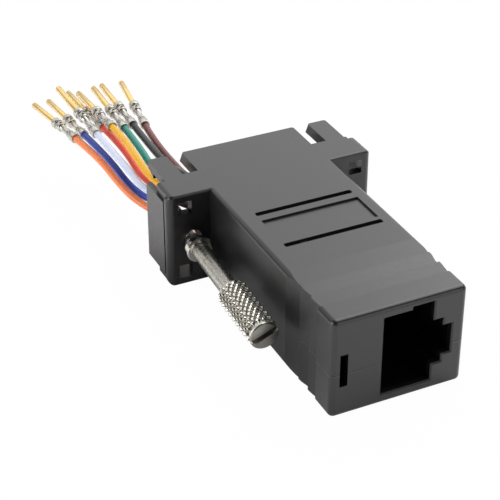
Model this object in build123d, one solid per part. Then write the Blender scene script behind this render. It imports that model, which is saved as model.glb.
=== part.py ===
from build123d import *
import math
import os

# Serial adapter hood, jack end to -Y, open end to +Y, resting on Z = 0.
# Millimetres. A depth is measured from the jack face towards the open end.

# Hood, overall
HOOD_LENGTH = 48.35
HOOD_HEIGHT = 15.0
BODY_WIDTH = 19.7
FLANGE_WIDTH = 32.7
FLANGE_LENGTH = 11.5
SIDE_WALL = 1.1
TOP_WALL = 0.75
FRONT_WALL = 1.0
FLANGE_WALL = 1.5
FLANGE_SIDE_WALL = 0.8
FLANGE_TOP_WALL = 1.2
BODY_EDGE_R = 0.7
BODY_CORNER_R = 0.8
FLANGE_CORNER_R = 1.0
FLANGE_FRONT_R = 0.4

# Open end: central tongue, two fingers a side, short corners
FINGER_EDGE = 1.7
FINGER_WIDTH = 3.0
SLOT_WIDTH = 2.0
SLOT_LENGTH = 6.0
SLOT_FLARE = 0.45
CORNER_STEP = 6.8
SIDE_STEP = 3.7
HOOK_LENGTH = 2.0
HOOK_REACH = 0.9
HOOK_WIDTH = 1.9
HOOK_EDGE = 2.75
WINDOW_EDGE = 2.65
WINDOW_WIDTH = 2.15
WINDOW_HEIGHT = 2.15
TIP_R = 0.4

# Raised pad on each flange side, with the groove in front of it
PAD_LENGTH = 9.8
PAD_GROOVE = 0.4
PAD_GROOVE_DEPTH = 0.35
PAD_LOW = 1.5
PAD_RELIEF = 0.35

# Marks on the top face
GROOVE_DEPTH = 0.5
GROOVE_WIDTH = 0.9
GROOVE_HALF = 7.5
MARK_X = 0.4
REAR_GROOVE = 27.6
FRONT_GROOVE = 18.8
PANEL_START = 19.95
PANEL_END = 25.85
PANEL_DEPTH = 0.3

# Finger grips: back, front, dip at the back, dip at the front
GRIPS = [(12.9, 9.25, 0.0, 0.45), (9.25, 6.65, 0.2, 0.68), (6.65, 4.1, 0.25, 0.55)]
GRIP_TOP_SHARE = 0.34
SLIT_X = -8.04
SLIT_WIDTH = 1.15
SLIT_LOW = 4.7
SLIT_HIGH = 9.65

# Jack opening, turned on its side: contacts at -X, latch at +X
JACK_LEFT = -2.35
JACK_RIGHT = 5.0
JACK_OPENING = 11.9
KEY_LEFT = 1.85
KEY_RISE = 0.5
LATCH_1 = 1.47
LATCH_1_HEIGHT = 6.85
LATCH_2 = 1.38
LATCH_2_HEIGHT = 4.45
OPENING_CHAMFER = 0.2
JACK_WALL = 1.1
JACK_FIT = 0.05
JACK_LENGTH = 19.0
PLUG_DEPTH = 14.0
LOCATING_RIB = 1.1
RIB_HEIGHT = 1.6
LEDGE = 1.2
LEDGE_REACH = 0.9
LEDGE_HEIGHT = 9.0

# Contacts and the carrier that holds them
CONTACTS = 8
CONTACT_PITCH = 1.016
CONTACT_SIZE = 0.36
CONTACT_FIT = 0.06
CONTACT_BEND = 0.5
CONTACT_FRONT = 3.0
CONTACT_TIP_X = 0.5
CONTACT_TIP_DEPTH = 10.6
CARRIER_HEIGHT = 9.6
CARRIER_WIDTH = 6.4
CARRIER_FIT = 0.05
COMB_DEPTH = 0.62
COMB_START = 2.4

# Thumbscrews, captive and loose in the flange wall, lengths from its middle
SCREW_EDGE = 3.855
SCREW_HOLE_D = 2.7
SCREW_SAG = 0.18
SCREW_LEAN = 1.85
SCREW_DROOP = 1.11
THREAD_D = 2.84
NECK_D = 2.05
LIP_D = 2.5
COLLAR_GROOVE_D = 2.1
SHANK_D = 2.6
KNOB_D = 4.4
KNURL_DEPTH = 0.3
KNOB_CAP_D = 4.1
KNOB_CAP = 0.55
KNOB_CHAMFER = 0.15
SCREWDRIVER_SLOT = 0.85
SCREWDRIVER_SLOT_DEPTH = 0.9
SLOT_TURN = 24.0
KNOB_FRONT = -26.05
KNOB_BACK = -15.0
COLLAR_FRONT = -3.9
COLLAR_BACK = -2.7
LIP_BACK = -0.95
THREAD_FRONT = 5.05
THREAD_BACK = 10.25
THREAD_CHAMFER = 0.3
KNURL_ROWS = 8
KNURL_COLUMNS = 12
COLLAR_D = 4.0
COLLAR_FIT = 0.05
COLLAR_GAP = 1.1
COLLAR_CHAMFER = 0.2

# Loose crimp pins on the wires
WIRE_D = 1.1
PIN_LENGTH = 14.5
PIN_D = 1.02
PIN_EXPOSED = 7.55
PIN_COLLAR_D = 1.76
PIN_COLLAR = 1.05
PIN_GROOVE_D = 1.2
PIN_GROOVE = 0.3
PIN_BODY_D = 1.54
PIN_BODY = 1.0
PIN_STEM_D = 1.04
PIN_CRIMP_D = 1.36
PIN_CRIMP = 1.0
PIN_GRIP_D = 1.6
PIN_GRIP = 1.2
PIN_HOLE_D = 0.5
PIN_NOSE = 0.15
ROW_LEFT = -1.7
ROW_RIGHT = 0.6
WIRE_PITCH = 1.1
WIRE_START = 4.0
ARC_SHARE = 0.45

# Wire routes as (x, depth, z) past the carrier, bottom contact first
ROUTES = {
    "orange": [
        (-3.1, 30.35, 3.7), (-5.9, 36.85, 3.8), (-10.1, 44.05, 4.4), (-14.8, 51.55, 5.9),
        (-16.2, 55.85, 7.2), (-17.1, 62.75, 9.0), (-18.1, 69.85, 8.9),
    ],
    "blue": [
        (-1.0, 30.35, 4.8), (-4.1, 36.85, 5.0), (-8.0, 43.45, 5.3), (-12.6, 51.05, 5.9),
        (-14.5, 55.35, 6.3), (-15.2, 63.85, 8.0), (-15.8, 72.35, 7.8),
    ],
    "white": [
        (-2.7, 30.35, 6.4), (-5.6, 36.85, 7.7), (-11.5, 43.05, 9.9), (-15.2, 48.45, 9.8),
        (-15.4, 54.85, 10.6), (-15.7, 60.45, 10.8), (-16.1, 65.45, 11.4),
    ],
    "red": [
        (-1.3, 30.35, 7.7), (-4.8, 36.85, 9.1), (-9.4, 43.55, 10.2), (-13.1, 49.85, 9.6),
        (-13.7, 53.95, 9.4), (-13.1, 61.75, 10.0), (-13.5, 69.55, 9.9),
    ],
    "yellow": [
        (-3.0, 30.35, 8.9), (-6.0, 36.85, 10.3), (-12.0, 43.65, 11.4), (-13.9, 47.85, 11.4),
        (-13.8, 55.65, 12.1), (-13.4, 60.75, 12.2), (-13.5, 65.45, 12.0),
    ],
    "green": [
        (-0.4, 30.35, 9.3), (-2.9, 36.85, 9.3), (-8.0, 46.15, 9.0), (-10.5, 51.65, 9.1),
        (-11.2, 54.75, 9.4), (-11.1, 60.75, 10.4), (-11.0, 66.75, 10.6),
    ],
    "black": [
        (-2.5, 30.35, 10.6), (-4.3, 36.85, 10.9), (-6.8, 44.65, 10.7), (-8.6, 51.05, 10.2),
        (-9.2, 54.65, 9.9), (-9.2, 61.35, 10.0), (-9.1, 67.95, 10.2),
    ],
    "brown": [
        (-0.4, 30.35, 11.2), (-2.2, 36.85, 10.7), (-5.3, 43.95, 9.5), (-6.8, 48.45, 8.9),
        (-7.4, 52.75, 8.9), (-7.7, 62.55, 9.4), (-7.1, 67.85, 9.7),
    ],
}

# Worked out from the sizes above
FRONT = -HOOD_LENGTH / 2
MID_Z = HOOD_HEIGHT / 2
BODY_HALF = BODY_WIDTH / 2
FLANGE_HALF = FLANGE_WIDTH / 2
CAVITY_HALF = BODY_HALF - SIDE_WALL
FLANGE_CAVITY_HALF = FLANGE_HALF - FLANGE_SIDE_WALL
FINGER_OUTER = FLANGE_HALF - FINGER_EDGE
FINGER_INNER = FINGER_OUTER - FINGER_WIDTH
TONGUE_HALF = FINGER_INNER - SLOT_WIDTH
HOOK_X = FLANGE_HALF - HOOK_EDGE
WINDOW_X = FLANGE_HALF - WINDOW_EDGE
SCREW_X = FLANGE_HALF - SCREW_EDGE
FLANGE_DEPTH = HOOD_LENGTH - FLANGE_LENGTH
SLOT_START = HOOD_LENGTH - SLOT_LENGTH
CORNER_END = HOOD_LENGTH - CORNER_STEP
SIDE_END = HOOD_LENGTH - SIDE_STEP
PAD_START = HOOD_LENGTH - PAD_LENGTH
WALL_BACK = FLANGE_DEPTH + FLANGE_WALL
PAD_HIGH = HOOD_HEIGHT - PAD_LOW
JACK_OUTER_LEFT = JACK_LEFT - JACK_WALL
JACK_OUTER_RIGHT = CAVITY_HALF - JACK_FIT
JACK_FRONT = FRONT_WALL + JACK_FIT
JACK_REAR = FRONT_WALL + JACK_LENGTH
COMB_LEFT = JACK_LEFT - COMB_DEPTH
TAIL_X = COMB_LEFT + CARRIER_FIT + CONTACT_FIT + CONTACT_SIZE / 2
OUT = 5.0


def y_at(depth):
    return FRONT + depth


def block(x0, x1, d0, d1, z0, z1):
    """Box between two X, two depths and two heights."""
    centre = Pos((x0 + x1) / 2, y_at((d0 + d1) / 2), (z0 + z1) / 2)
    return centre * Box(x1 - x0, d1 - d0, z1 - z0)


def prism_along_y(points, d0, d1):
    """Solid with an XZ outline between two depths."""
    back = Plane(origin=(0, y_at(d1), 0), x_dir=(1, 0, 0), z_dir=(0, -1, 0))
    face = make_face(Polyline(*points, close=True))
    return extrude(back * face, amount=d1 - d0)


def prism_along_z(points, z0, z1):
    """Solid with an (x, depth) outline between two heights."""
    outline = [(x, y_at(depth)) for x, depth in points]
    face = make_face(Polyline(*outline, close=True))
    return extrude(Pos(0, 0, z0) * face, amount=z1 - z0)


def prism_along_x(points, x0, x1):
    """Solid with a (depth, z) outline between two X."""
    left = Plane(origin=(x0, 0, 0), x_dir=(0, 1, 0), z_dir=(1, 0, 0))
    outline = [(y_at(depth), z) for depth, z in points]
    face = make_face(Polyline(*outline, close=True))
    return extrude(left * face, amount=x1 - x0)


def jack_outline():
    """Opening seen from the front: plug, key rise and two latch steps."""
    top = MID_Z + JACK_OPENING / 2
    bottom = MID_Z - JACK_OPENING / 2
    step_1 = LATCH_1_HEIGHT / 2
    step_2 = LATCH_2_HEIGHT / 2
    x1 = JACK_RIGHT + LATCH_1
    x2 = x1 + LATCH_2
    return [
        (JACK_LEFT, bottom), (JACK_RIGHT, bottom), (JACK_RIGHT, MID_Z - step_1),
        (x1, MID_Z - step_1), (x1, MID_Z - step_2), (x2, MID_Z - step_2),
        (x2, MID_Z + step_2), (x1, MID_Z + step_2), (x1, MID_Z + step_1),
        (JACK_RIGHT, MID_Z + step_1), (JACK_RIGHT, top + KEY_RISE),
        (KEY_LEFT, top + KEY_RISE), (KEY_LEFT, top), (JACK_LEFT, top),
    ]


def hood_blank():
    """Body and flange with their rounded edges, still solid."""
    body = block(-BODY_HALF, BODY_HALF, 0, FLANGE_DEPTH + OUT, 0, HOOD_HEIGHT)
    corners = body.edges().filter_by(Axis.Z).group_by(Axis.Y)[0]
    body = fillet(corners, BODY_CORNER_R)
    rims = body.faces().sort_by(Axis.Z)[0].edges() + body.faces().sort_by(Axis.Z)[-1].edges()
    rims = [edge for edge in rims if edge.center().Y < y_at(FLANGE_DEPTH + OUT) - BODY_EDGE_R]
    body = fillet(rims, BODY_EDGE_R)
    flange = block(-FLANGE_HALF, FLANGE_HALF, FLANGE_DEPTH, HOOD_LENGTH, 0, HOOD_HEIGHT)
    corners = flange.edges().filter_by(Axis.Z).group_by(Axis.Y)[0]
    corners += flange.edges().filter_by(Axis.Y)
    flange = fillet(corners, FLANGE_CORNER_R)
    flange = fillet(flange.faces().sort_by(Axis.Y)[0].edges(), FLANGE_FRONT_R)
    return body + flange


def grip_cuts():
    """Saw-tooth grips on both sides, fading out across top and bottom."""
    cuts = []
    for back, front, dip_back, dip_front in GRIPS:
        for side in (-1, 1):
            outline = [
                (side * (BODY_HALF + OUT), back), (side * (BODY_HALF - dip_back), back),
                (side * (BODY_HALF - dip_front), front), (side * (BODY_HALF + OUT), front),
            ]
            cuts.append(prism_along_z(outline, -OUT, HOOD_HEIGHT + OUT))
        low_back = dip_back * GRIP_TOP_SHARE
        low_front = dip_front * GRIP_TOP_SHARE
        for base, away in ((0, -1), (HOOD_HEIGHT, 1)):
            outline = [
                (back, base + away * OUT), (back, base - away * low_back),
                (front, base - away * low_front), (front, base + away * OUT),
            ]
            cuts.append(prism_along_x(outline, -BODY_WIDTH, BODY_WIDTH))
    return cuts


def top_marks():
    """Two grooves and a bare recessed label panel."""
    marks = []
    for depth in (REAR_GROOVE, FRONT_GROOVE):
        outline = RectangleRounded(2 * GROOVE_HALF, GROOVE_WIDTH, GROOVE_WIDTH / 3)
        seat = Pos(MARK_X, y_at(depth), HOOD_HEIGHT - GROOVE_DEPTH)
        marks.append(extrude(seat * outline, amount=OUT))
    marks.append(block(MARK_X - GROOVE_HALF, MARK_X + GROOVE_HALF, PANEL_START, PANEL_END,
                       HOOD_HEIGHT - PANEL_DEPTH, HOOD_HEIGHT + OUT))
    return marks


def slot_cut(side, end):
    """Slot beside the tongue: both walls lean the same way, narrower inside."""
    low = FLANGE_TOP_WALL
    high = HOOD_HEIGHT - FLANGE_TOP_WALL
    tongue = TONGUE_HALF - SLOT_FLARE
    finger = FINGER_INNER - SLOT_FLARE
    outline = [
        (tongue, HOOD_HEIGHT + OUT), (tongue, HOOD_HEIGHT), (TONGUE_HALF, high), (TONGUE_HALF, low),
        (tongue, 0), (tongue, -OUT), (FINGER_INNER, -OUT), (FINGER_INNER, 0), (finger, low),
        (finger, high), (FINGER_INNER, HOOD_HEIGHT), (FINGER_INNER, HOOD_HEIGHT + OUT),
    ]
    return prism_along_y([(side * x, z) for x, z in outline], SLOT_START, end)


def flange_end_cuts():
    """Slots, corner notches and side ends that leave tongue and fingers."""
    end = HOOD_LENGTH + OUT
    far = FLANGE_HALF + OUT
    groove_start = PAD_START - PAD_GROOVE
    face = FLANGE_HALF - PAD_GROOVE_DEPTH
    cuts = []
    for side in (-1, 1):
        spans = [
            (FINGER_OUTER, far, SIDE_END, end, -OUT, HOOD_HEIGHT + OUT),
            (FINGER_OUTER, far, CORNER_END, end, PAD_HIGH, HOOD_HEIGHT + OUT),
            (FINGER_OUTER, far, CORNER_END, end, -OUT, PAD_LOW),
            (face, far, groove_start, PAD_START, -OUT, HOOD_HEIGHT + OUT),
            (FLANGE_HALF - PAD_RELIEF, far, PAD_START, end, PAD_HIGH, HOOD_HEIGHT + OUT),
            (FLANGE_HALF - PAD_RELIEF, far, PAD_START, end, -OUT, PAD_LOW),
        ]
        for x0, x1, d0, d1, z0, z1 in spans:
            low, high = sorted((side * x0, side * x1))
            cuts.append(block(low, high, d0, d1, z0, z1))
        cuts.append(slot_cut(side, end))
    return cuts


def flange_wall_holes():
    """Screw holes and the windows that face the snap hooks."""
    cuts = []
    for side in (-1, 1):
        hole = Cylinder(SCREW_HOLE_D / 2, FLANGE_WALL + 2 * OUT, rotation=(90, 0, 0))
        cuts.append(Pos(side * SCREW_X, y_at(FLANGE_DEPTH), MID_Z) * hole)
        x0 = side * WINDOW_X - WINDOW_WIDTH / 2
        x1 = side * WINDOW_X + WINDOW_WIDTH / 2
        low = FLANGE_TOP_WALL
        high = HOOD_HEIGHT - FLANGE_TOP_WALL
        cuts.append(block(x0, x1, FLANGE_DEPTH - OUT, WALL_BACK + OUT, low, low + WINDOW_HEIGHT))
        cuts.append(block(x0, x1, FLANGE_DEPTH - OUT, WALL_BACK + OUT, high - WINDOW_HEIGHT, high))
    return cuts


def snap_hooks():
    """Ramped hooks inside the finger ends, flat towards the jack."""
    hooks = []
    back = HOOD_LENGTH
    front = HOOD_LENGTH - HOOK_LENGTH
    for side in (-1, 1):
        x0 = side * HOOK_X - HOOK_WIDTH / 2
        x1 = side * HOOK_X + HOOK_WIDTH / 2
        for base, inward in ((FLANGE_TOP_WALL, 1), (HOOD_HEIGHT - FLANGE_TOP_WALL, -1)):
            root = base - inward * FLANGE_TOP_WALL / 2
            outline = [
                (front, root), (front, base + inward * HOOK_REACH),
                (back - TIP_R, base), (back - TIP_R, root),
            ]
            hooks.append(prism_along_x(outline, x0, x1))
    return hooks


def jack_seats():
    """Ribs beside the jack and a ledge behind it, inside the body."""
    seats = []
    rib_right = JACK_OUTER_LEFT - JACK_FIT
    rib_left = rib_right - LOCATING_RIB
    for z0, z1 in ((TOP_WALL / 2, TOP_WALL + RIB_HEIGHT),
                   (HOOD_HEIGHT - TOP_WALL - RIB_HEIGHT, HOOD_HEIGHT - TOP_WALL / 2)):
        seats.append(block(rib_left, rib_right, FRONT_WALL / 2, JACK_REAR, z0, z1))
    ledge_front = JACK_REAR + JACK_FIT
    seats.append(block(CAVITY_HALF - LEDGE_REACH, CAVITY_HALF + SIDE_WALL / 2, ledge_front,
                       ledge_front + LEDGE, MID_Z - LEDGE_HEIGHT / 2, MID_Z + LEDGE_HEIGHT / 2))
    return seats


def hood():
    """One moulding: body, flange, tongue, fingers, hooks and ribs."""
    body = hood_blank()
    for cut in grip_cuts() + top_marks():
        body -= cut
    body -= block(-CAVITY_HALF, CAVITY_HALF, FRONT_WALL, WALL_BACK + FLANGE_WALL / 2,
                  TOP_WALL, HOOD_HEIGHT - TOP_WALL)
    body -= block(-FLANGE_CAVITY_HALF, FLANGE_CAVITY_HALF, WALL_BACK, HOOD_LENGTH + OUT,
                  FLANGE_TOP_WALL, HOOD_HEIGHT - FLANGE_TOP_WALL)
    for cut in flange_end_cuts() + flange_wall_holes():
        body -= cut
    body -= prism_along_y(jack_outline(), -OUT, FRONT_WALL + JACK_FIT)
    slit_left = SLIT_X - SLIT_WIDTH / 2
    body -= block(slit_left, slit_left + SLIT_WIDTH, -OUT, FRONT_WALL + JACK_FIT, SLIT_LOW, SLIT_HIGH)
    rim = body.faces().filter_by(Axis.Y).sort_by(Axis.Y)[0].inner_wires()
    rim = max(rim, key=lambda wire: wire.length)
    body = chamfer(rim.edges(), OPENING_CHAMFER)
    ends = [edge for edge in body.edges().group_by(Axis.Y)[-1] if abs((edge @ 1 - edge @ 0).Z) > FLANGE_TOP_WALL / 2]
    body = fillet(ends, TIP_R)
    for piece in snap_hooks() + jack_seats():
        body += piece
    return body


def jack_housing():
    """Shell of the jack, blind at plug depth, with the carrier's pocket behind."""
    shell = block(JACK_OUTER_LEFT, JACK_OUTER_RIGHT, JACK_FRONT, JACK_REAR,
                  TOP_WALL + JACK_FIT, HOOD_HEIGHT - TOP_WALL - JACK_FIT)
    shell -= prism_along_y(jack_outline(), -OUT, PLUG_DEPTH)
    low = MID_Z - CARRIER_HEIGHT / 2
    high = MID_Z + CARRIER_HEIGHT / 2
    shell -= block(COMB_LEFT, COMB_LEFT + CARRIER_WIDTH, PLUG_DEPTH - FRONT_WALL, JACK_REAR + OUT, low, high)
    shell -= block(COMB_LEFT, JACK_LEFT + JACK_FIT, COMB_START, PLUG_DEPTH, low, high)
    return shell


def contact_height(number):
    return MID_Z + (number - (CONTACTS + 1) / 2) * CONTACT_PITCH


def contact_carrier():
    """Block that closes the jack's rear, grooved for the contact tails."""
    reach = CARRIER_HEIGHT / 2 - CARRIER_FIT
    left = COMB_LEFT + CARRIER_FIT
    body = block(left, COMB_LEFT + CARRIER_WIDTH - CARRIER_FIT, PLUG_DEPTH + CARRIER_FIT, JACK_REAR,
                 MID_Z - reach, MID_Z + reach)
    half = CONTACT_SIZE / 2 + CONTACT_FIT
    for number in range(1, CONTACTS + 1):
        z = contact_height(number)
        body -= block(left - OUT, TAIL_X + half, PLUG_DEPTH - OUT, JACK_REAR - CONTACT_FIT, z - half, z + half)
    return body


def jack_contact(number):
    """Spring wire: tail, bend at the comb, free end in the plug's way."""
    points = [
        (TAIL_X, y_at(JACK_REAR - 2 * CONTACT_FIT)), (TAIL_X, y_at(CONTACT_FRONT)),
        (TAIL_X + 2 * CONTACT_BEND, y_at(CONTACT_FRONT)), (CONTACT_TIP_X, y_at(CONTACT_TIP_DEPTH)),
    ]
    line = FilletPolyline(*points, radius=CONTACT_BEND * 0.9)
    strip = trace(line, line_width=CONTACT_SIZE)
    z = contact_height(number) - CONTACT_SIZE / 2
    return extrude(Pos(0, 0, z) * strip, amount=CONTACT_SIZE)


def revolved(stations, start=0):
    """Turned solid along Z from (length, diameter at start, diameter at end)."""
    points = [(0, start)]
    z = start
    for length, first, last in stations:
        points += [(first / 2, z), (last / 2, z + length)]
        z += length
    points.append((0, z))
    clean = [points[0]]
    for point in points[1:]:
        if point != clean[-1]:
            clean.append(point)
    outline = [(radius, 0, height) for radius, height in clean]
    return revolve(make_face(Polyline(*outline, close=True)), Axis.Z)


def knurled_barrel(z0, z1):
    """Diamond knurl: pyramids with their lows on a screw-like grid."""
    columns = 2 * KNURL_COLUMNS
    rows = 2 * KNURL_ROWS
    low = KNOB_D / 2 - KNURL_DEPTH

    def corner(row, column):
        column %= columns
        peak = (row + column) % 2 == 0 and 0 < row < rows
        radius = KNOB_D / 2 if peak else low
        angle = 2 * math.pi * column / columns
        height = z0 + (z1 - z0) * row / rows
        return Vector(radius * math.cos(angle), radius * math.sin(angle), height)

    def flat(*corners):
        return Face(Wire.make_polygon(corners, close=True))

    faces = [
        flat(*[corner(0, column) for column in range(columns)]),
        flat(*[corner(rows, column) for column in range(columns)]),
    ]
    for row in range(rows):
        for column in range(columns):
            here = corner(row, column)
            right = corner(row, column + 1)
            up = corner(row + 1, column)
            across = corner(row + 1, column + 1)
            if (row + column) % 2 == 0:
                faces += [flat(here, right, up), flat(right, across, up)]
            else:
                faces += [flat(here, right, across), flat(here, across, up)]
    return Solid(Shell(faces))


def screw_plane(side):
    """Plane at the wall's middle, Z along the screw towards the mating side."""
    lean = math.tan(math.radians(SCREW_LEAN))
    droop = math.tan(math.radians(SCREW_DROOP))
    x = side * (SCREW_X + SCREW_SAG)
    origin = (x, y_at(FLANGE_DEPTH + FLANGE_WALL / 2), MID_Z - SCREW_SAG)
    return Plane(origin=origin, x_dir=(1, side * lean, 0), z_dir=(-side * lean, 1, droop))


def thumbscrew(side):
    """Turned and knurled screw with cap, shank, collar groove, neck and thread."""
    knurl_front = KNOB_FRONT + KNOB_CAP
    stations = [
        (KNOB_CHAMFER, KNOB_CAP_D - 2 * KNOB_CHAMFER, KNOB_CAP_D),
        (KNOB_CAP - KNOB_CHAMFER, KNOB_CAP_D, KNOB_CAP_D),
        (COLLAR_FRONT - COLLAR_FIT - knurl_front, SHANK_D, SHANK_D),
        (COLLAR_BACK - COLLAR_FRONT + 2 * COLLAR_FIT, COLLAR_GROOVE_D, COLLAR_GROOVE_D),
        (LIP_BACK - COLLAR_BACK - COLLAR_FIT, LIP_D, LIP_D),
        (THREAD_FRONT - LIP_BACK, NECK_D, NECK_D),
        (THREAD_BACK - THREAD_FRONT - THREAD_CHAMFER, THREAD_D, THREAD_D),
        (THREAD_CHAMFER, THREAD_D, THREAD_D - 2 * THREAD_CHAMFER),
    ]
    screw = revolved(stations, KNOB_FRONT)
    screw += knurled_barrel(knurl_front, KNOB_BACK)
    slot = Box(2 * KNOB_D, SCREWDRIVER_SLOT, 2 * SCREWDRIVER_SLOT_DEPTH)
    turn = Rot(0, 0, side * SLOT_TURN)
    screw -= Pos(0, 0, KNOB_FRONT) * turn * slot
    return screw_plane(side).location * screw


def collar_ring(side):
    """Split ring snapped into the groove next to the flange."""
    length = COLLAR_BACK - COLLAR_FRONT
    middle = (COLLAR_BACK + COLLAR_FRONT) / 2
    bore = COLLAR_GROOVE_D + 2 * COLLAR_FIT
    ring = Cylinder(COLLAR_D / 2, length) - Cylinder(bore / 2, 2 * length)
    ring = chamfer(ring.edges().filter_by(GeomType.CIRCLE).group_by(SortBy.RADIUS)[-1], COLLAR_CHAMFER)
    split = Pos(0, COLLAR_D / 2, 0) * Box(COLLAR_GAP, COLLAR_D, 2 * length)
    ring -= split
    return screw_plane(side).location * Pos(0, 0, middle) * ring


def wire_points(colour):
    """Whole route of a wire in row coordinates, from the carrier's rear."""
    number = list(ROUTES).index(colour)
    row = ROW_LEFT if number % 2 == 0 else ROW_RIGHT
    height = MID_Z + (number - (CONTACTS - 1) / 2) * WIRE_PITCH
    route = [(row, JACK_REAR, height), (row, JACK_REAR + WIRE_START, height)] + ROUTES[colour]
    return [Vector(x, y_at(depth), z) for x, depth, z in route]


def bend_radii(points):
    """Largest arc at each inner point that its two runs allow."""
    radii = []
    for before, point, after in zip(points, points[1:], points[2:]):
        run_in = point - before
        run_out = after - point
        half_turn = math.radians(run_in.get_angle(run_out)) / 2
        shorter = min(run_in.length, run_out.length)
        radii.append(ARC_SHARE * shorter / math.tan(half_turn))
    return radii


def wire_tube(colour):
    """Insulated wire as straight runs joined by tangent arcs."""
    points = wire_points(colour)
    radii = bend_radii(points)
    path = FilletPolyline(*points, radius=radii)
    section = Plane(origin=path @ 0, z_dir=path % 0) * Circle(WIRE_D / 2)
    tube = sweep(section, path=path)
    expected = math.pi * WIRE_D ** 2 / 4 * path.length
    print(colour, "length", round(path.length, 2), "volume share", round(tube.volume / expected, 4),
          "radii", [round(radius, 1) for radius in radii])
    return tube


def crimp_pin(colour):
    """Crimp contact on the wire's end: grip, crimp, stem, body, collar, pin."""
    before, end = wire_points(colour)[-2:]
    stem = PIN_LENGTH - PIN_GRIP - PIN_CRIMP - PIN_BODY - PIN_GROOVE - PIN_COLLAR - PIN_EXPOSED
    stations = [
        (PIN_GRIP, PIN_GRIP_D, PIN_GRIP_D),
        (PIN_CRIMP, PIN_CRIMP_D, PIN_CRIMP_D),
        (stem, PIN_STEM_D, PIN_STEM_D),
        (PIN_BODY, PIN_BODY_D, PIN_BODY_D),
        (PIN_GROOVE, PIN_GROOVE_D, PIN_GROOVE_D),
        (PIN_COLLAR, PIN_COLLAR_D, PIN_COLLAR_D),
        (PIN_EXPOSED - PIN_NOSE, PIN_D, PIN_D),
        (PIN_NOSE, PIN_D, PIN_D - 2 * PIN_NOSE),
    ]
    pin = revolved(stations)
    hole = Cylinder(PIN_HOLE_D / 2, PIN_BODY_D, rotation=(90, 0, 0))
    pin -= Pos(0, -PIN_BODY_D / 2, PIN_GRIP + PIN_CRIMP + stem + PIN_BODY / 2) * hole
    return Plane(origin=end, x_dir=(1, 0, 0), z_dir=end - before).location * pin


def build_nodes():
    nodes = {
        "hood": hood(),
        "jack_housing": jack_housing(),
        "jack_contact_carrier": contact_carrier(),
    }
    for number in range(1, CONTACTS + 1):
        nodes[f"jack_contact_{number}"] = jack_contact(number)
    for name, side in (("left", -1), ("right", 1)):
        nodes[f"{name}_thumbscrew"] = thumbscrew(side)
        nodes[f"{name}_collar_ring"] = collar_ring(side)
    for colour in ROUTES:
        nodes[f"wire_{colour}"] = wire_tube(colour)
        nodes[f"pin_{colour}"] = crimp_pin(colour)
    return nodes


os.makedirs("parts", exist_ok=True)
for node, solid in build_nodes().items():
    export_step(solid, f"parts/{node}.step")
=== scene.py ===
import math
import bpy
from mathutils import Matrix, Vector


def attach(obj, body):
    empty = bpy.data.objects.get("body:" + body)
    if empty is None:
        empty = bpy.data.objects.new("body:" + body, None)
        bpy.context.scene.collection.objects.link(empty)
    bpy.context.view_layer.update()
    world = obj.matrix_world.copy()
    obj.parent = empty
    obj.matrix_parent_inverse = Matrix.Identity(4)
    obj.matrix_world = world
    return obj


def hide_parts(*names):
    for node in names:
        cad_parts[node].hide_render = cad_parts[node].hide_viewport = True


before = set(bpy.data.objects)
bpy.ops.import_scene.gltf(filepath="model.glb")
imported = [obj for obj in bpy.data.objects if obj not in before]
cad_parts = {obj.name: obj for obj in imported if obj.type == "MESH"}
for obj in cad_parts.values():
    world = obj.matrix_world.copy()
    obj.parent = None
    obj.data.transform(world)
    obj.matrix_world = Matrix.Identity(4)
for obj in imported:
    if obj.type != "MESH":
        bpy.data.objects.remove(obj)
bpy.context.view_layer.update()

# Serial adapter: the solids carry the hood, the jack and the collar rings.
# New here: wires, crimp pins and thumbscrews, and a finish for every piece.
# Pins and screws are shaped in millimetres along Z, then placed. So their
# stations, and every other bare length up to the studio's, are millimetres.
MM = 0.001

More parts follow.
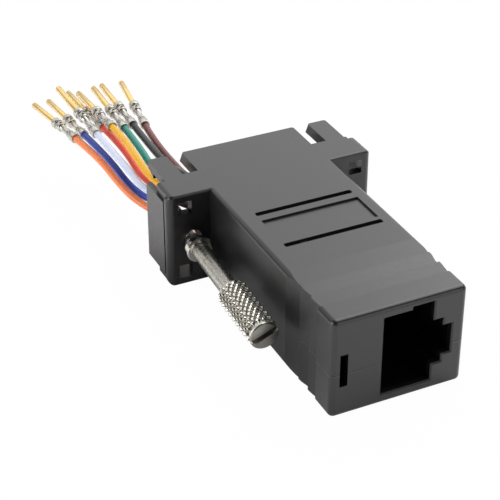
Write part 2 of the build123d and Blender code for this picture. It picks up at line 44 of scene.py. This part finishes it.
# Wires, in metres: their routes run from the contact carrier to the crimp pins
WIRE_ROUTES = {
    "orange": (
        (-0.0017, -0.004175, 0.00365), (-0.0017, -0.000175, 0.00365), (-0.0031, 0.006175, 0.0037),
        (-0.0059, 0.012675, 0.0038), (-0.0101, 0.019875, 0.0044), (-0.0148, 0.027375, 0.0059),
        (-0.0162, 0.031675, 0.0072), (-0.0171, 0.038575, 0.009), (-0.0181, 0.045675, 0.0089),
    ),
    "blue": (
        (0.0006, -0.004175, 0.00475), (0.0006, -0.000175, 0.00475), (-0.001, 0.006175, 0.0048),
        (-0.0041, 0.012675, 0.005), (-0.008, 0.019275, 0.0053), (-0.0126, 0.026875, 0.0059),
        (-0.0145, 0.031175, 0.0063), (-0.0152, 0.039675, 0.008), (-0.0158, 0.048175, 0.0078),
    ),
    "white": (
        (-0.0017, -0.004175, 0.00585), (-0.0017, -0.000175, 0.00585), (-0.0027, 0.006175, 0.0064),
        (-0.0056, 0.012675, 0.0077), (-0.0115, 0.018875, 0.0099), (-0.0152, 0.024275, 0.0098),
        (-0.0154, 0.030675, 0.0106), (-0.0157, 0.036275, 0.0108), (-0.0161, 0.041275, 0.0114),
    ),
    "red": (
        (0.0006, -0.004175, 0.00695), (0.0006, -0.000175, 0.00695), (-0.0013, 0.006175, 0.0077),
        (-0.0048, 0.012675, 0.0091), (-0.0094, 0.019375, 0.0102), (-0.0131, 0.025675, 0.0096),
        (-0.0137, 0.029775, 0.0094), (-0.0131, 0.037575, 0.01), (-0.0135, 0.045375, 0.0099),
    ),
    "yellow": (
        (-0.0017, -0.004175, 0.00805), (-0.0017, -0.000175, 0.00805), (-0.003, 0.006175, 0.0089),
        (-0.006, 0.012675, 0.0103), (-0.012, 0.019475, 0.0114), (-0.0139, 0.023675, 0.0114),
        (-0.0138, 0.031475, 0.0121), (-0.0134, 0.036575, 0.0122), (-0.0135, 0.041275, 0.012),
    ),
    "green": (
        (0.0006, -0.004175, 0.00915), (0.0006, -0.000175, 0.00915), (-0.0004, 0.006175, 0.0093),
        (-0.0029, 0.012675, 0.0093), (-0.008, 0.021975, 0.009), (-0.0105, 0.027475, 0.0091),
        (-0.0112, 0.030575, 0.0094), (-0.0111, 0.036575, 0.0104), (-0.011, 0.042575, 0.0106),
    ),
    "black": (
        (-0.0017, -0.004175, 0.01025), (-0.0017, -0.000175, 0.01025), (-0.0025, 0.006175, 0.0106),
        (-0.0043, 0.012675, 0.0109), (-0.0068, 0.020475, 0.0107), (-0.0086, 0.026875, 0.0102),
        (-0.0092, 0.030475, 0.0099), (-0.0092, 0.037175, 0.01), (-0.0091, 0.043775, 0.0102),
    ),
    "brown": (
        (0.0006, -0.004175, 0.01135), (0.0006, -0.000175, 0.01135), (-0.0004, 0.006175, 0.0112),
        (-0.0022, 0.012675, 0.0107), (-0.0053, 0.019775, 0.0095), (-0.0068, 0.024275, 0.0089),
        (-0.0074, 0.028575, 0.0089), (-0.0077, 0.038375, 0.0094), (-0.0071, 0.043675, 0.0097),
    ),
}

# The white wire's pale lavender is painted shade; its insulation is white
INSULATION_HEX = {
    "orange": "#F98A50", "blue": "#2A50C4", "white": "#D2D9F0", "red": "#EE5640",
    "yellow": "#EBB010", "green": "#109482", "black": "#1C1D20", "brown": "#743431",
}
WIRE_D = 0.0011
DARKER_SHARE = 0.86  # the darker places along a wire, as a share of its colour

# Crimp pin from the wire's end to the nose: (mm along, radius in mm)
PIN_STATIONS = (
    (0.0, 0.74), (0.0, 0.80), (1.1, 0.80), (1.2, 0.68), (2.1, 0.68), (2.25, 0.52), (4.5, 0.52),
    (4.6, 0.74), (4.7, 0.77), (4.85, 0.77), (5.35, 0.77), (5.5, 0.77), (5.6, 0.60), (5.9, 0.60),
    (5.95, 0.84), (6.05, 0.88), (6.85, 0.88), (6.95, 0.82), (6.95, 0.51), (14.3, 0.51),
    (14.45, 0.44), (14.5, 0.30),
)
PIN_SIDES = 16
CRIMP_MIDDLE = 1.65
CRIMP_DENT = 0.14
SIGHT_HOLE = 5.1
SIGHT_HOLE_DEPTH = 0.35
GOLD_STARTS = 6.9
STATION_TOLERANCE = 0.1

# Thumbscrew along its axis: (mm along, radius in mm)
SCREW_STATIONS = (
    (-26.05, 1.90), (-25.90, 2.05), (-25.50, 2.05), (-25.50, 1.82), (-15.00, 1.82), (-15.00, 1.65),
    (-14.80, 1.30), (-3.95, 1.30), (-3.95, 1.05), (-2.65, 1.05), (-2.65, 1.25), (-0.95, 1.25),
    (-0.95, 1.025), (5.05, 1.025), (5.20, 1.12), (10.05, 1.12), (10.25, 0.90),
)
SCREW_SIDES = 48
SCREW_X = 12.675
SCREW_Y = 13.425
SCREW_Z = 7.32
SCREW_LEAN = math.tan(math.radians(1.85))
SCREW_DROOP = math.tan(math.radians(1.11))
SLOT_TURN = math.radians(24)
SLOT_WIDTH = 0.85
SLOT_DEPTH = 0.9
KNOB_END = -26.05
FACE_MARGIN = 0.05
SLOT_REACH = 1.98
KNURL_COLUMNS = 14
KNURL_ROWS = 16
KNURL_FRONT = -25.35
KNURL_BACK = -15.10
KNURL_SEAT = 2.0
KNURL_BASE = 0.5
KNURL_TOP = 0.2
KNURL_HEIGHT = 0.44
THREAD_START = 5.35
THREAD_PITCH = 0.635
THREAD_TURNS = 7
THREAD_STEPS = 28
# One turn's ridge: (radius, mm along)
THREAD_RIDGE = ((1.06, 0.0), (1.40, 0.25), (1.40, 0.34), (1.06, 0.59))
TURNING_PITCH = 0.11
PARTING_HEIGHT = 6.6

# Studio, in metres
CAMERA_PLACE = (-0.087195, -0.161675, 0.125508)
CAMERA_AIM = (0.36551, 0.76160, -0.53513)
CAMERA_LENS = 112.18
ROOM_BRIGHT = (0.6, 0.75, -0.28)
WHITE_SHARE = 0.98
# Corner of painted shade in the paper's reflections, by the left screw
SHADED_CORNER = (-0.013, 0.004, 0)
# Soft boxes: name, place, target, size, power
LIGHTS = (
    ("back_softbox", (0.05, 0.46, 0.31), (0, 0, 0.01), (0.88, 0.34), 1.02),
    ("right_softbox", (0.24, 0.10, 0.38), (0, 0, 0), (0.4, 0.4), 1.8),
    ("left_softbox", (-0.45, 0.06, 0.16), (0, 0, 0.01), (0.3, 0.3), 1.5),
    ("front_fill", (0.20, -0.45, 0.20), (0, 0, 0.01), (0.3, 0.3), 0.55),
)


def linear(hex_colour):
    """sRGB hex to the linear colour that a shader takes."""
    channels = [int(hex_colour[i:i + 2], 16) / 255 for i in (1, 3, 5)]
    lit = (c / 12.92 if c <= 0.04045 else ((c + 0.055) / 1.055) ** 2.4 for c in channels)
    return tuple(lit) + (1.0,)


def new_material(name):
    material = bpy.data.materials.new(name)
    material.use_nodes = True
    material.node_tree.nodes.clear()
    return material


def add(tree, kind, settings, **inputs):
    """Adds a node, sets its options and fills or links its sockets.

    A socket is given by its name, or by i and its number where names repeat.
    """
    node = tree.nodes.new(kind)
    for option, value in settings.items():
        setattr(node, option, value)
    for key, value in inputs.items():
        socket = node.inputs[int(key[1:]) if key[1:].isdigit() else key.replace("_", " ")]
        if isinstance(value, bpy.types.NodeSocket):
            tree.links.new(value, socket)
        else:
            socket.default_value = value
    return node


def grain(tree, place, size_mm, detail=2.0):
    """Noise whose blotches are about size_mm across."""
    return add(tree, "ShaderNodeTexNoise", {}, Vector=place, Scale=1 / (size_mm * MM), Detail=detail)


def place_in(tree):
    return add(tree, "ShaderNodeTexCoord", {}).outputs["Object"]


def ramp(tree, value, start, end, low, high):
    """Maps start to end on to low to high, and holds outside."""
    node = add(tree, "ShaderNodeMapRange", {}, Value=value, i1=start, i2=end, i3=low, i4=high)
    return node.outputs["Result"]


def bump(tree, height, strength, depth_mm, **inputs):
    """Shades relief that is depth_mm deep."""
    node = add(tree, "ShaderNodeBump", {}, Strength=strength, Distance=depth_mm * MM,
               Height=height, **inputs)
    return node.outputs[0]


def between(tree, amount, low, high):
    """Spreads the middle of a noise over a range."""
    return ramp(tree, amount, 0.3, 0.7, low, high)


def math_node(tree, operation, first, second=0.5):
    return add(tree, "ShaderNodeMath", {"operation": operation}, i0=first, i1=second).outputs[0]


def blend(tree, amount, first, second):
    """Mixes two linear colours."""
    mix = add(tree, "ShaderNodeMix", {"data_type": "RGBA"}, i0=amount, i6=first, i7=second)
    return mix.outputs[2]


def tinted(tree, amount, first_hex, second_hex):
    """Wanders between two colours of the same finish."""
    return blend(tree, amount, linear(first_hex), linear(second_hex))


def finish(tree, surface):
    add(tree, "ShaderNodeOutputMaterial", {}, Surface=surface.outputs[0])


def spark_eroded_abs():
    """Black ABS from a spark-eroded mould: satin, finely pitted, greyer where light grazes it."""
    material = new_material("spark_eroded_black_abs")
    tree = material.node_tree
    place = place_in(tree)
    # The real pits are about 0.05 mm; drawn at 0.3 mm so that a render shows them
    pits = grain(tree, place, 0.3, 3.0)
    flow = grain(tree, place, 9.0)
    across = add(tree, "ShaderNodeSeparateXYZ", {}, Vector=place).outputs
    # Mould parting line: a raised thread of plastic, on the jack end only
    height = math_node(tree, "SUBTRACT", across["Z"], PARTING_HEIGHT * MM)
    away = math_node(tree, "ABSOLUTE", height)
    line = ramp(tree, away, 0.04 * MM, 0.14 * MM, 1.0, 0.0)
    jack_end = ramp(tree, across["Y"], -15.4 * MM, -14.8 * MM, 1.0, 0.0)
    raised = bump(tree, math_node(tree, "MULTIPLY", line, jack_end), 0.5, 0.08)
    pitted = bump(tree, pits.outputs["Fac"], 0.3, 0.03, Normal=raised)
    surface = add(tree, "ShaderNodeBsdfPrincipled", {},
                  Base_Color=tinted(tree, flow.outputs["Fac"], "#18181A", "#1C1C1E"),
                  Roughness=between(tree, pits.outputs["Fac"], 0.28, 0.36), IOR=1.5, Normal=pitted)
    finish(tree, surface)
    return material


def moulded_pbt():
    """Black PBT of the jack: a smoother mould, so tighter highlights inside the opening. Its base colour,
    darker than the hood's, adds painted shade to the opening.
    """
    material = new_material("moulded_black_pbt")
    tree = material.node_tree
    ripple = grain(tree, place_in(tree), 1.2).outputs["Fac"]
    surface = add(tree, "ShaderNodeBsdfPrincipled", {},
                  Base_Color=tinted(tree, ripple, "#080809", "#0B0B0C"),
                  Roughness=between(tree, ripple, 0.32, 0.4), IOR=1.55,
                  Normal=bump(tree, ripple, 0.1, 0.03))
    finish(tree, surface)
    return material


def plated_metal(name, first_hex, second_hex, shiny, dull, draw_mm, marked):
    """Plated metal: bright and smooth, with drawing marks too faint to catch a nail."""
    material = new_material(name)
    tree = material.node_tree
    place = place_in(tree)
    cloud = grain(tree, place, 1.5).outputs["Fac"]
    marks = grain(tree, place, draw_mm, 4.0).outputs["Fac"]
    surface = add(tree, "ShaderNodeBsdfPrincipled", {}, Metallic=1.0,
                  Base_Color=tinted(tree, cloud, first_hex, second_hex),
                  Roughness=between(tree, marks, shiny, dull),
                  Normal=bump(tree, marks, marked, 0.01))
    finish(tree, surface)
    return material


def turned_nickel():
    """Nickel over turned steel: rings round the bar spread each highlight along it."""
    material = new_material("nickel_plated_turned_steel")
    tree = material.node_tree
    place = place_in(tree)
    cloud = grain(tree, place, 1.5).outputs["Fac"]
    length = add(tree, "ShaderNodeSeparateXYZ", {}, Vector=place).outputs["Y"]
    turns = math_node(tree, "MULTIPLY", length, 2 * math.pi / (TURNING_PITCH * MM))
    rings = math_node(tree, "SINE", turns)
    surface = add(tree, "ShaderNodeBsdfPrincipled", {}, Metallic=1.0,
                  Base_Color=tinted(tree, cloud, "#C4C1B8", "#CDCAC2"),
                  Roughness=between(tree, cloud, 0.24, 0.3),
                  Normal=bump(tree, rings, 1.0, 0.0045))
    finish(tree, surface)
    return material


def pvc_insulation(colour):
    """Extruded PVC: soft gloss, with colour and surface slightly uneven along the wire."""
    material = new_material("pvc_insulation_" + colour)
    tree = material.node_tree
    uneven = grain(tree, place_in(tree), 2.0).outputs["Fac"]
    base = linear(INSULATION_HEX[colour])
    darker = tuple(DARKER_SHARE * c for c in base[:3]) + (1.0,)
    surface = add(tree, "ShaderNodeBsdfPrincipled", {}, Base_Color=blend(tree, uneven, darker, base),
                  Roughness=between(tree, uneven, 0.36, 0.46), IOR=1.5,
                  Normal=bump(tree, uneven, 0.15, 0.04))
    finish(tree, surface)
    return material


def seamless_paper():
    """White paper sweep: white to the camera; in reflections the lit paper is shaded by the object, plus a
    painted glow that fades out by the left screw as painted shade.
    """
    material = new_material("seamless_white_paper")
    tree = material.node_tree
    place = place_in(tree)
    fibre = grain(tree, place, 3.0).outputs["Fac"]
    paper = add(tree, "ShaderNodeBsdfPrincipled", {}, Roughness=0.9,
                Base_Color=tinted(tree, fibre, "#F4F4F4", "#F8F8F8"))
    white = add(tree, "ShaderNodeEmission", {}, Color=(1, 1, 1, 1), Strength=1.0)
    rays = add(tree, "ShaderNodeLightPath", {}).outputs
    share = math_node(tree, "MULTIPLY", rays["Is Camera Ray"], WHITE_SHARE)
    mixed = add(tree, "ShaderNodeMixShader", {}, i0=share, i1=paper.outputs[0], i2=white.outputs[0])
    # Painted reflection: glossy rays see the paper glow as over-exposed, less near the corner by the left
    # screw, which keeps painted shade there
    away = add(tree, "ShaderNodeVectorMath", {"operation": "DISTANCE"}, i0=place, i1=SHADED_CORNER)
    painted_glow_share = ramp(tree, away.outputs["Value"], 14 * MM, 28 * MM, 0.0, 0.4)
    level = math_node(tree, "MULTIPLY", painted_glow_share, rays["Is Glossy Ray"])
    painted_glow = add(tree, "ShaderNodeEmission", {}, Color=(1, 1, 1, 1), Strength=level)
    finish(tree, add(tree, "ShaderNodeAddShader", {}, i0=mixed.outputs[0], i1=painted_glow.outputs[0]))
    return material


def deselect():
    if bpy.context.object and bpy.context.object.mode == "EDIT":
        bpy.ops.object.mode_set(mode="OBJECT")
    bpy.ops.object.select_all(action="DESELECT")


def only(piece):
    deselect()
    piece.select_set(True)
    bpy.context.view_layer.objects.active = piece


def pick_faces(piece, wanted):
    """Selects the faces whose centre and normal pass, then opens edit mode."""
    only(piece)
    bpy.ops.object.mode_set(mode="EDIT")
    bpy.ops.mesh.select_mode(type="FACE")
    bpy.ops.mesh.select_all(action="DESELECT")
    bpy.ops.object.mode_set(mode="OBJECT")
    for face in piece.data.polygons:
        face.select = bool(wanted(face.center, face.normal))
    bpy.ops.object.mode_set(mode="EDIT")


def turned_bar(name, stations, sides):
    """A disc drawn out and resized station by station, as on a lathe."""
    deselect()
    start, radius = stations[0]
    bpy.ops.mesh.primitive_circle_add(vertices=sides, radius=radius * MM, fill_type="NGON",
                                      location=(0, 0, start * MM))
    piece = bpy.context.object
    piece.name = name
    bpy.ops.object.transform_apply(location=True, rotation=True, scale=True)
    bpy.ops.object.mode_set(mode="EDIT")
    bpy.ops.mesh.select_all(action="SELECT")
    for station, next_radius in stations[1:]:
        bpy.ops.mesh.extrude_region_move(TRANSFORM_OT_translate={"value": (0, 0, (station - start) * MM)})
        scale = next_radius / radius
        bpy.ops.transform.resize(value=(scale, scale, 1), center_override=(0, 0, station * MM))
        start, radius = station, next_radius
    bpy.ops.mesh.select_all(action="SELECT")
    bpy.ops.mesh.normals_make_consistent(inside=False)
    bpy.ops.object.mode_set(mode="OBJECT")
    return piece


def apply_modifiers(piece):
    only(piece)
    for modifier in list(piece.modifiers):
        bpy.ops.object.modifier_apply(modifier=modifier.name)


def soften(piece, width_mm, segments=2, angle=32):
    """Small bevel on every sharp edge, so that each one catches light."""
    only(piece)
    edge = piece.modifiers.new("eased_edges", "BEVEL")
    edge.width = width_mm * MM
    edge.segments = segments
    edge.limit_method = "ANGLE"
    edge.angle_limit = math.radians(angle)
    apply_modifiers(piece)
    bpy.ops.object.shade_smooth_by_angle(angle=math.radians(34))


def settle(piece, place):
    """Moves a piece made along Z to its place, and keeps the place in the mesh."""
    only(piece)
    piece.matrix_world = place
    bpy.ops.object.transform_apply(location=True, rotation=True, scale=True)


def copy_of(piece, name):
    only(piece)
    bpy.ops.object.duplicate(linked=False)
    twin = bpy.context.object
    twin.name = name
    return twin


def dress(node_names, material):
    for name in node_names:
        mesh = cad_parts[name].data
        mesh.materials.clear()
        mesh.materials.append(material)


def along(origin, direction):
    """Frame with Z along a direction and X as near +X as that allows."""
    z_axis = Vector(direction).normalized()
    x_axis = (Vector((1, 0, 0)) - z_axis * z_axis.x).normalized()
    y_axis = z_axis.cross(x_axis)
    turn = Matrix((x_axis, y_axis, z_axis)).transposed()
    return Matrix.Translation(origin) @ turn.to_4x4()


def insulated_wire(colour, material):
    points = WIRE_ROUTES[colour]
    curve = bpy.data.curves.new("wire_line_" + colour, "CURVE")
    curve.dimensions = "3D"
    line = curve.splines.new("NURBS")
    line.points.add(len(points) - 1)
    for point, (x, y, z) in zip(line.points, points):
        point.co = (x, y, z, 1)
    line.order_u = 3
    line.use_endpoint_u = True
    line.resolution_u = 16
    curve.bevel_depth = WIRE_D / 2
    curve.bevel_resolution = 6
    curve.use_fill_caps = True
    curve.materials.append(material)
    wire = bpy.data.objects.new("insulated_wire_" + colour, curve)
    bpy.context.scene.collection.objects.link(wire)
    return wire


def crimp_pin(tin, gold):
    """Machined pin: flared grip, crimp with four dents, waist, sight hole, collar, gold nose."""
    pin = turned_bar("crimp_pin_pattern", PIN_STATIONS, PIN_SIDES)

    def at_station(centre, station):
        return abs(centre.z - station * MM) < STATION_TOLERANCE * MM

    def dented(centre, normal):
        around = math.degrees(math.atan2(normal.y, normal.x)) % 90
        return at_station(centre, CRIMP_MIDDLE) and abs(around - 45) < 14 and abs(normal.z) < 0.5

    def sight_hole(centre, normal):
        return at_station(centre, SIGHT_HOLE) and normal.y < -0.9

    pick_faces(pin, dented)
    bpy.ops.mesh.inset(thickness=0.06 * MM, depth=-CRIMP_DENT * MM, use_individual=True)
    pick_faces(pin, sight_hole)
    bpy.ops.mesh.inset(thickness=0.05 * MM, depth=0)
    bpy.ops.mesh.extrude_region_shrink_fatten(TRANSFORM_OT_shrink_fatten={"value": -SIGHT_HOLE_DEPTH * MM})
    bpy.ops.object.mode_set(mode="OBJECT")
    pin.data.materials.append(tin)
    pin.data.materials.append(gold)
    for face in pin.data.polygons:
        face.material_index = 1 if face.center.z > GOLD_STARTS * MM else 0
    soften(pin, 0.035, 1)
    return pin


def knurl(name):
    """One raised diamond, repeated round and along the knob by two arrays."""
    deselect()
    length = (KNURL_BACK - KNURL_FRONT) / (KNURL_ROWS + 1)
    step = 2 * math.pi / KNURL_COLUMNS
    width = step * KNURL_SEAT
    bpy.ops.mesh.primitive_cone_add(vertices=4, radius1=KNURL_BASE * MM, radius2=KNURL_TOP * MM,
                                    depth=KNURL_HEIGHT * MM, location=(0, 0, 0))
    diamond = bpy.context.object
    diamond.name = name
    bpy.ops.object.mode_set(mode="EDIT")
    bpy.ops.mesh.select_all(action="SELECT")
    bpy.ops.transform.resize(value=(2 * length, width, 1))
    bpy.ops.object.mode_set(mode="OBJECT")
    soften(diamond, 0.05, 2, 20)
    first = KNURL_FRONT + length
    lay = Matrix(((0, 0, 1, KNURL_SEAT * MM), (0, 1, 0, 0), (-1, 0, 0, first * MM), (0, 0, 0, 1)))
    settle(diamond, lay)
    guides = []
    arrays = (("round", step, 0, KNURL_COLUMNS), ("along", step / 2, length, KNURL_ROWS))
    for label, angle, rise, count in arrays:
        deselect()
        bpy.ops.object.empty_add(location=(0, 0, rise * MM), rotation=(0, 0, angle))
        guide = bpy.context.object
        guides.append(guide)
        bpy.context.view_layer.update()
        array = diamond.modifiers.new(label, "ARRAY")
        array.use_relative_offset = False
        array.use_object_offset = True
        array.offset_object = guide
        array.count = count
    apply_modifiers(diamond)
    for guide in guides:
        bpy.data.objects.remove(guide)
    return diamond


def screw_thread(name):
    """4-40 thread: one ridge drawn round the axis by the Screw modifier."""
    deselect()
    bpy.ops.mesh.primitive_circle_add(vertices=4, radius=0.1 * MM, fill_type="NOTHING")
    piece = bpy.context.object
    piece.name = name
    bpy.ops.object.mode_set(mode="EDIT")
    bpy.ops.mesh.select_all(action="SELECT")
    bpy.ops.mesh.delete(type="EDGE_FACE")
    bpy.ops.object.mode_set(mode="OBJECT")
    for vertex, (radius, rise) in zip(piece.data.vertices, THREAD_RIDGE):
        vertex.co = (radius * MM, 0, (THREAD_START + rise) * MM)
    bpy.ops.object.mode_set(mode="EDIT")
    bpy.ops.mesh.select_mode(type="VERT")
    for first in range(len(THREAD_RIDGE) - 1):
        bpy.ops.mesh.select_all(action="DESELECT")
        bpy.ops.object.mode_set(mode="OBJECT")
        for vertex in piece.data.vertices:
            vertex.select = vertex.index in (first, first + 1)
        bpy.ops.object.mode_set(mode="EDIT")
        bpy.ops.mesh.edge_face_add()
    bpy.ops.object.mode_set(mode="OBJECT")
    spiral = piece.modifiers.new("spiral", "SCREW")
    spiral.axis = "Z"
    spiral.angle = 2 * math.pi * THREAD_TURNS
    spiral.screw_offset = THREAD_PITCH * THREAD_TURNS * MM
    spiral.steps = spiral.render_steps = THREAD_STEPS * THREAD_TURNS
    spiral.use_smooth_shade = True
    apply_modifiers(piece)
    bpy.ops.object.mode_set(mode="EDIT")
    bpy.ops.mesh.select_all(action="SELECT")
    bpy.ops.mesh.normals_make_consistent(inside=False)
    bpy.ops.object.mode_set(mode="OBJECT")
    bpy.ops.object.shade_smooth_by_angle(angle=math.radians(25))
    return piece


def thumbscrew(name, side, turned, slot_shade_and_dark_end, nickel):
    screw = turned_bar(name, SCREW_STATIONS, SCREW_SIDES)
    deselect()
    bpy.ops.mesh.primitive_cube_add(size=1, location=(0, 0, KNOB_END * MM),
                                    rotation=(0, 0, side * SLOT_TURN),
                                    scale=(8 * MM, SLOT_WIDTH * MM, 2 * SLOT_DEPTH * MM))
    cutter = bpy.context.object
    only(screw)
    cut = screw.modifiers.new("driver_slot", "BOOLEAN")
    cut.operation = "DIFFERENCE"
    cut.object = cutter
    apply_modifiers(screw)
    bpy.data.objects.remove(cutter)
    screw.data.materials.clear()
    screw.data.materials.append(turned)
    screw.data.materials.append(slot_shade_and_dark_end)
    # Driver slot and knob end face take the darker grey: in the slot it is painted shade
    face_edge = KNOB_END + FACE_MARGIN
    for face in screw.data.polygons:
        from_axis = math.hypot(face.center.x, face.center.y)
        in_slot = face.center.z < (face_edge + SLOT_DEPTH) * MM and from_axis < SLOT_REACH * MM
        face.material_index = 1 if in_slot or face.center.z < face_edge * MM else 0
    soften(screw, 0.07, 2)
    grip = knurl(name + "_grip")
    spiral = screw_thread(name + "_thread")
    for piece in (grip, spiral):
        piece.data.materials.clear()
        piece.data.materials.append(nickel)
    deselect()
    for piece in (grip, spiral, screw):
        piece.select_set(True)
    bpy.context.view_layer.objects.active = screw
    bpy.ops.object.join()
    place = along(Vector((side * SCREW_X, SCREW_Y, SCREW_Z)) * MM, (-side * SCREW_LEAN, 1, SCREW_DROOP))
    settle(screw, place)
    return screw


def light(name, location, target, size, power):
    deselect()
    bpy.ops.object.light_add(type="AREA", location=location)
    lamp = bpy.context.object
    lamp.name = name
    lamp.data.shape = "RECTANGLE"
    lamp.data.size, lamp.data.size_y = size
    lamp.data.energy = power
    lamp.rotation_euler = (Vector(target) - Vector(location)).to_track_quat("-Z", "Y").to_euler()


def studio():
    """Camera at the photograph's angle, soft box lights and a white sweep."""
    deselect()
    bpy.ops.object.camera_add(location=CAMERA_PLACE)
    camera = bpy.context.object
    camera.rotation_euler = Vector(CAMERA_AIM).to_track_quat("-Z", "Y").to_euler()
    camera.data.lens = CAMERA_LENS
    camera.data.sensor_width = 36
    camera.data.clip_start = 0.01
    bpy.context.scene.camera = camera
    bpy.context.scene.view_settings.view_transform = "Standard"
    world = bpy.data.worlds.new("white_room")
    bpy.context.scene.world = world
    world.use_nodes = True
    tree = world.node_tree
    tree.nodes.clear()
    rays = add(tree, "ShaderNodeLightPath", {}).outputs
    seen = math_node(tree, "MAXIMUM", rays["Is Camera Ray"], rays["Is Transmission Ray"])
    # Room: dim in front and on the left, bright towards the back right
    facing = add(tree, "ShaderNodeVectorMath", {"operation": "DOT_PRODUCT"},
                 i0=add(tree, "ShaderNodeTexCoord", {}).outputs["Generated"], i1=ROOM_BRIGHT)
    level = ramp(tree, facing.outputs["Value"], -0.1, 0.8, 0.1, 0.9)
    glow = add(tree, "ShaderNodeBackground", {}, Color=(1, 1, 1, 1), Strength=level)
    white = add(tree, "ShaderNodeBackground", {}, Color=(1, 1, 1, 1), Strength=1.0)
    mixed = add(tree, "ShaderNodeMixShader", {}, i0=seen, i1=glow.outputs[0], i2=white.outputs[0])
    add(tree, "ShaderNodeOutputWorld", {}, Surface=mixed.outputs[0])
    deselect()
    bpy.ops.mesh.primitive_plane_add(size=3, location=(0, 0, 0))
    floor = bpy.context.object
    floor.name = "paper_sweep"
    floor.data.materials.append(seamless_paper())
    bpy.ops.object.transform_apply(location=True, rotation=True, scale=True)
    for soft_box in LIGHTS:
        light(*soft_box)


def build():
    abs_black = spark_eroded_abs()
    pbt_black = moulded_pbt()
    nickel = plated_metal("nickel_plated_steel", "#BAB7AF", "#C2BFB7", 0.14, 0.2, 0.3, 0.08)
    turned = turned_nickel()
    # Darker nickel: painted shade in the driver slot, and a darker knob end face
    slot_shade_and_dark_end = plated_metal("nickel_dark_end_and_painted_slot_shade", "#84817B", "#9A968F", 0.3, 0.42, 0.25, 0.8)
    tin = plated_metal("tinned_crimp_barrel", "#ADAAA3", "#B9B6AF", 0.3, 0.38, 0.3, 0.08)
    gold = plated_metal("gold_flashed_brass", "#D2B26E", "#D9BB7C", 0.26, 0.29, 0.6, 0.0)
    dress(["hood"], abs_black)
    dress(["jack_housing", "jack_contact_carrier"], pbt_black)
    dress(["jack_contact_%d" % number for number in range(1, 9)], gold)
    dress(["left_collar_ring", "right_collar_ring"], nickel)
    pattern = crimp_pin(tin, gold)
    for colour, points in WIRE_ROUTES.items():
        wire = insulated_wire(colour, pvc_insulation(colour))
        pin = copy_of(pattern, "crimp_pin_" + colour)
        end, before = Vector(points[-1]), Vector(points[-2])
        settle(pin, along(end, end - before))
        rows = ((wire, "wire_" + colour, "insulation_" + colour), (pin, "pin_" + colour, "contact_gold"))
        for piece, node_name, slot_name in rows:
            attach(piece, "adapter")
            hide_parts(node_name)
    bpy.data.objects.remove(pattern)
    for side_name, side in (("left", -1), ("right", 1)):
        screw = thumbscrew("turned_screw_" + side_name, side, turned, slot_shade_and_dark_end, nickel)
        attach(screw, side_name + "_screw")
        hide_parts(side_name + "_thumbscrew")


deselect()
studio()
build()
deselect()
bpy.context.view_layer.update()
